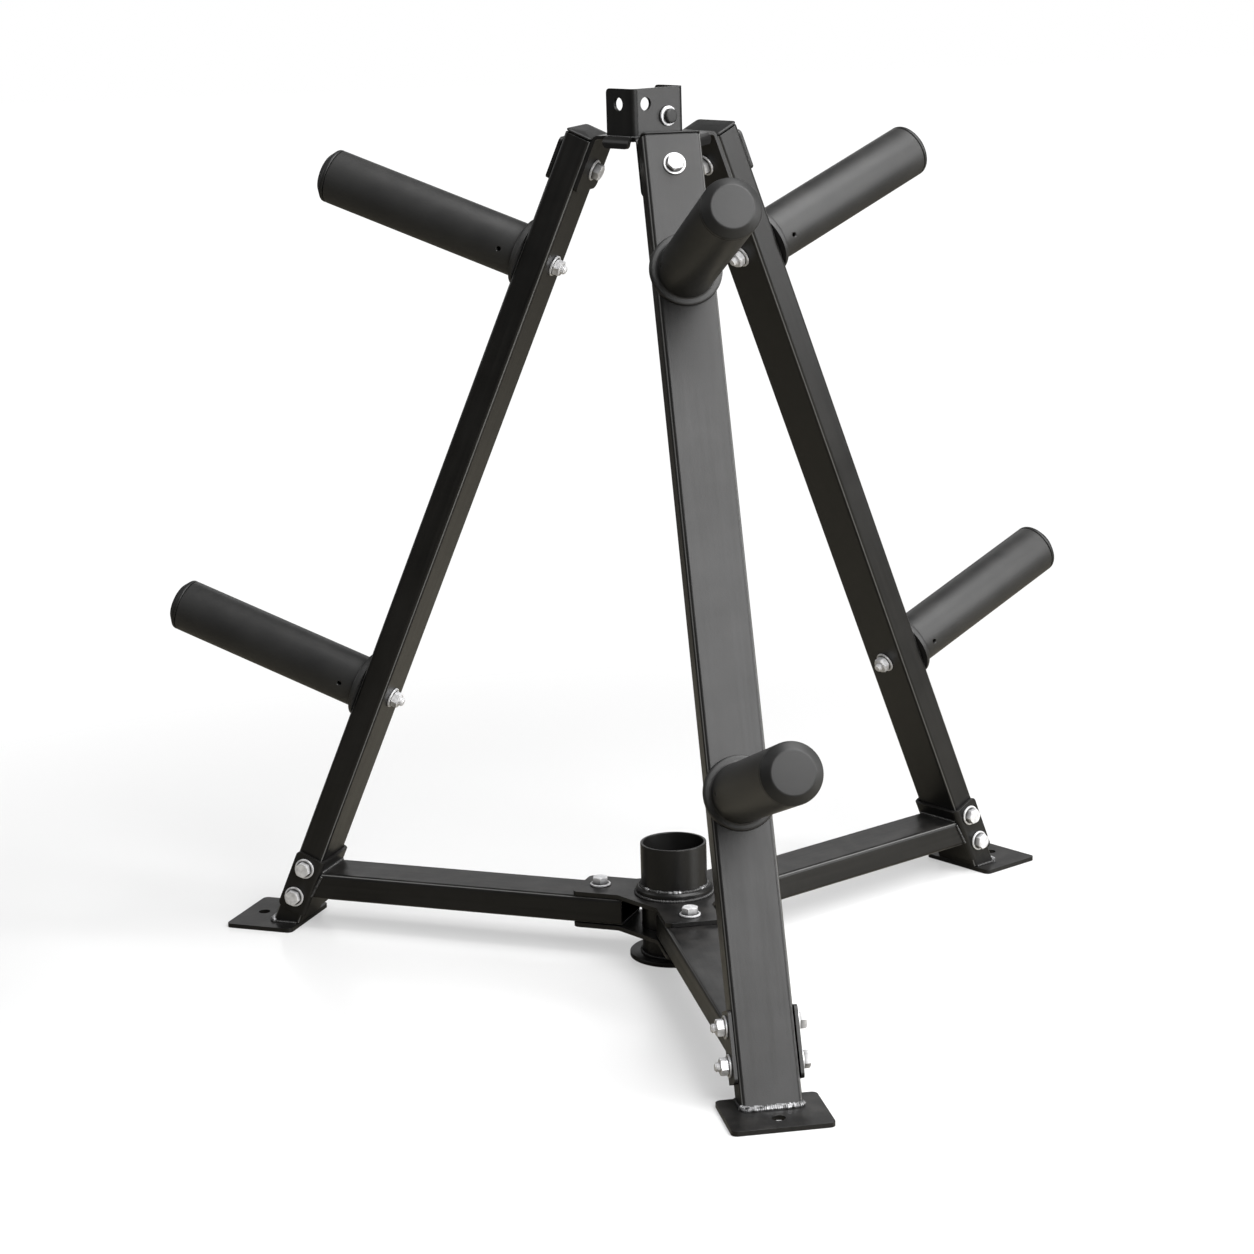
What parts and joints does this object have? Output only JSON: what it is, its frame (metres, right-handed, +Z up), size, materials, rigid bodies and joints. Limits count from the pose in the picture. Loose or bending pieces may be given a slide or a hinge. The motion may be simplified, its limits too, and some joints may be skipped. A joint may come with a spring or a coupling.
{
  "type": "plate tree",
  "caption": "Three-legged black steel plate tree: two weight posts on each leg, a central bar cup between flat braces, and a hub bracket with a lock pin.",
  "frame": {"origin": "where the centre line of the bar cup meets the floor, on the underside of the floor disc", "axes": "+Z is up; the front leg points along -Y, the right leg 30 degrees and the left leg 150 degrees round from +X, seen from above"},
  "size_m": [0.868, 0.7588, 0.7854],
  "materials": {
    "frame_paint": "satin black powder coat on steel tube and sheet",
    "post_paint": "finely textured matte black powder coat on the round posts",
    "black_plastic": "moulded black plastic plugs, caps and pin",
    "bright_zinc": "bright zinc plated bolts, nuts and washers"
  },
  "bodies": {
    "stand": {"leg_front": "frame_paint", "leg_plug_front": "black_plastic", "foot_plate_front": "frame_paint", "post_upper_front": "post_paint", "post_cap_upper_front": "black_plastic", "post_stud_upper_front": "bright_zinc", "post_lower_front": "post_paint", "post_cap_lower_front": "black_plastic", "post_stud_lower_front": "bright_zinc", "leg_right": "frame_paint", "leg_plug_right": "black_plastic", "foot_plate_right": "frame_paint", "post_upper_right": "post_paint", "post_cap_upper_right": "black_plastic", "post_stud_upper_right": "bright_zinc", "post_lower_right": "post_paint", "post_cap_lower_right": "black_plastic", "post_stud_lower_right": "bright_zinc", "leg_left": "frame_paint", "leg_plug_left": "black_plastic", "foot_plate_left": "frame_paint", "post_upper_left": "post_paint", "post_cap_upper_left": "black_plastic", "post_stud_upper_left": "bright_zinc", "post_lower_left": "post_paint", "post_cap_lower_left": "black_plastic", "post_stud_lower_left": "bright_zinc", "hub_plate": "frame_paint", "nut_plate_front": "frame_paint", "hub_bolt_front": "bright_zinc", "nut_plate_right": "frame_paint", "hub_bolt_right": "bright_zinc", "nut_plate_left": "frame_paint", "hub_bolt_left": "bright_zinc", "hub_bracket": "frame_paint", "pin_collar": "bright_zinc", "brace_shoe_front": "frame_paint", "shoe_bolt_lower_front": "bright_zinc", "shoe_bolt_upper_front": "bright_zinc", "brace_shoe_right": "frame_paint", "shoe_bolt_lower_right": "bright_zinc", "shoe_bolt_upper_right": "bright_zinc", "brace_shoe_left": "frame_paint", "shoe_bolt_lower_left": "bright_zinc", "shoe_bolt_upper_left": "bright_zinc", "brace_front": "frame_paint", "brace_right": "frame_paint", "brace_left": "frame_paint", "star_plate_top": "frame_paint", "star_plate_bottom": "frame_paint", "star_bolt_front": "bright_zinc", "star_bolt_right": "bright_zinc", "star_bolt_left": "bright_zinc", "bar_cup_tube": "frame_paint", "bar_cup_collar": "frame_paint", "floor_disc": "frame_paint"},
    "pin": {"lock_pin": "black_plastic"}
  },
  "joints": [
    {"name": "lock_pin_slide", "type": "slide", "parent": "stand", "child": "pin", "axis": [0.5, -0.866, 0], "range_m": [0, 0.024]}
  ]
}
